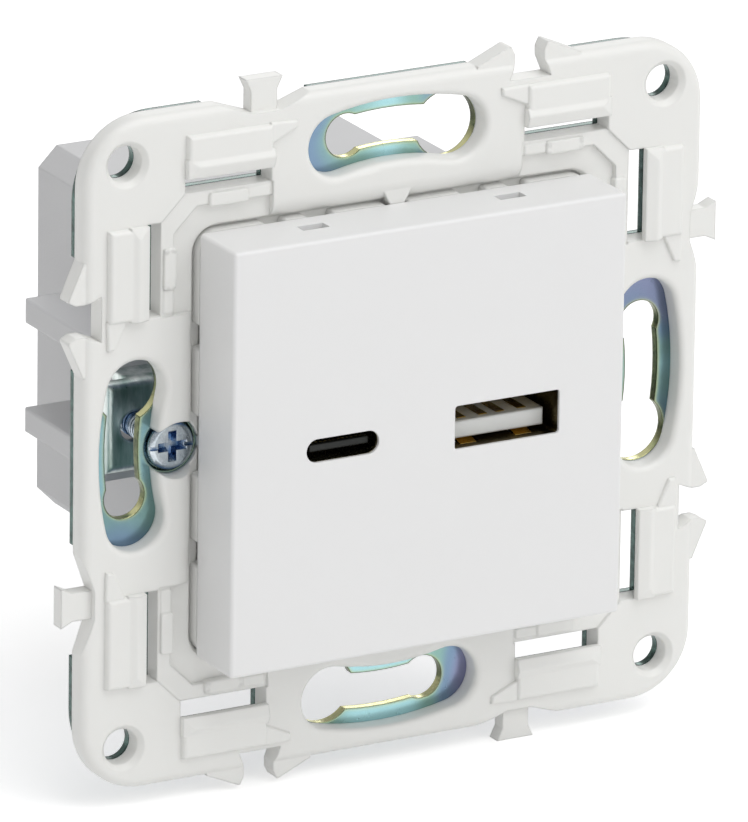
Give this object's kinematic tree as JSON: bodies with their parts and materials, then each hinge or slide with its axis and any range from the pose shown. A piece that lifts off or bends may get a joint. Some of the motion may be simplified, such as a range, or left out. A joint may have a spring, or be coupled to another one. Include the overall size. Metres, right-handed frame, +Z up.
{
  "type": "usb wall socket",
  "caption": "Flush-mounted USB charging socket insert: square cover with a wide and an oval port, support frame on a steel plate, spreading claws and rear housing.",
  "frame": {"origin": "middle of the steel plate, in the plane of its rear face, which lies on the wall", "axes": "+Z up, +X right as seen from the front, +Y into the wall; the front looks towards -Y"},
  "size_m": [0.0752, 0.0482, 0.0752],
  "materials": {
    "cover_white": "moulded, satin gloss",
    "frame_white": "moulded, satin",
    "carrier_white": "moulded, satin",
    "housing_white": "moulded, fine matt",
    "plate_zinc": "zinc plated, iridescent passivation",
    "claw_zinc": "zinc plated",
    "screw_zinc": "zinc plated, blue passivation",
    "port_shell": "tin plated sheet",
    "port_shell_dark": "plated sheet, dull",
    "tongue_white": "moulded",
    "tongue_black": "moulded",
    "contact_gold": "gilded",
    "board_green": "glass-fibre board with solder resist",
    "ferrite": "sintered ferrite",
    "former_black": "moulded",
    "winding_tape": "enamelled copper wire under tape",
    "can_sleeve": "shrink sleeve on an aluminium can",
    "film_box": "moulded box",
    "resistor_green": "cement coat",
    "chip_black": "moulded",
    "pin_tin": "tin plated",
    "terminal_brass": "pressed brass"
  },
  "bodies": {
    "base": {"support_frame": "frame_white", "mounting_plate": "plate_zinc", "housing_front": "carrier_white", "housing_rear": "housing_white", "housing_screws": "screw_zinc", "output_board": "board_green", "power_board": "board_green", "usb_a_shell": "port_shell", "usb_a_tongue": "tongue_white", "usb_a_contacts": "contact_gold", "usb_c_shell": "port_shell_dark", "usb_c_tongue": "tongue_black", "usb_c_contacts": "contact_gold", "transformer_core": "ferrite", "transformer_former": "former_black", "transformer_winding": "winding_tape", "input_capacitors": "can_sleeve", "output_capacitor": "can_sleeve", "interference_capacitor": "film_box", "fuse_resistor": "resistor_green", "rectifier": "chip_black", "charge_controller": "chip_black", "board_link": "pin_tin", "terminal_bar_live": "terminal_brass", "terminal_bar_neutral": "terminal_brass"},
    "cover": {"cover": "cover_white"},
    "claw_left": {"claw_left": "claw_zinc"},
    "claw_right": {"claw_right": "claw_zinc"},
    "claw_screw_left": {"claw_screw_left": "screw_zinc"},
    "claw_screw_right": {"claw_screw_right": "screw_zinc"},
    "cage_live": {"terminal_cage_live": "terminal_brass"},
    "cage_neutral": {"terminal_cage_neutral": "terminal_brass"},
    "terminal_screw_live": {"terminal_screw_live": "screw_zinc"},
    "terminal_screw_neutral": {"terminal_screw_neutral": "screw_zinc"}
  },
  "joints": [
    {"name": "cover_pull", "type": "slide", "parent": "base", "child": "cover", "axis": [0, -1, 0], "range_m": [0, 0.012]},
    {"name": "claw_screw_left_turn", "type": "hinge", "parent": "base", "child": "claw_screw_left", "pos_m": [-0.0247, 0, 0], "axis": [0, 1, 0], "range_deg": [0, 1080]},
    {"name": "claw_left_spread", "type": "hinge", "parent": "base", "child": "claw_left", "pos_m": [-0.0205, 0.0059, 0], "axis": [0, 0, 1], "range_deg": [0, 18]},
    {"name": "claw_screw_right_turn", "type": "hinge", "parent": "base", "child": "claw_screw_right", "pos_m": [0.0247, 0, 0], "axis": [0, 1, 0], "range_deg": [0, 1080]},
    {"name": "claw_right_spread", "type": "hinge", "parent": "base", "child": "claw_right", "pos_m": [0.0205, 0.0059, 0], "axis": [0, 0, -1], "range_deg": [0, 18]},
    {"name": "terminal_live_turn", "type": "hinge", "parent": "base", "child": "terminal_screw_live", "pos_m": [-0.007, 0.031, 0.0174], "axis": [0, 0, -1], "range_deg": [0, 1656]},
    {"name": "cage_live_lift", "type": "slide", "parent": "base", "child": "cage_live", "axis": [0, 0, 1], "range_m": [0, 0.0023]},
    {"name": "terminal_neutral_turn", "type": "hinge", "parent": "base", "child": "terminal_screw_neutral", "pos_m": [0.007, 0.031, 0.0174], "axis": [0, 0, -1], "range_deg": [0, 1656]},
    {"name": "cage_neutral_lift", "type": "slide", "parent": "base", "child": "cage_neutral", "axis": [0, 0, 1], "range_m": [0, 0.0023]}
  ],
  "couplings": [
    {"joint": "claw_left_spread", "follows": "claw_screw_left_turn", "ratio": 0.016667},
    {"joint": "claw_right_spread", "follows": "claw_screw_right_turn", "ratio": 0.016667},
    {"joint": "terminal_live_turn", "follows": "cage_live_lift", "rad_per_m": 12566},
    {"joint": "terminal_neutral_turn", "follows": "cage_neutral_lift", "rad_per_m": 12566}
  ]
}
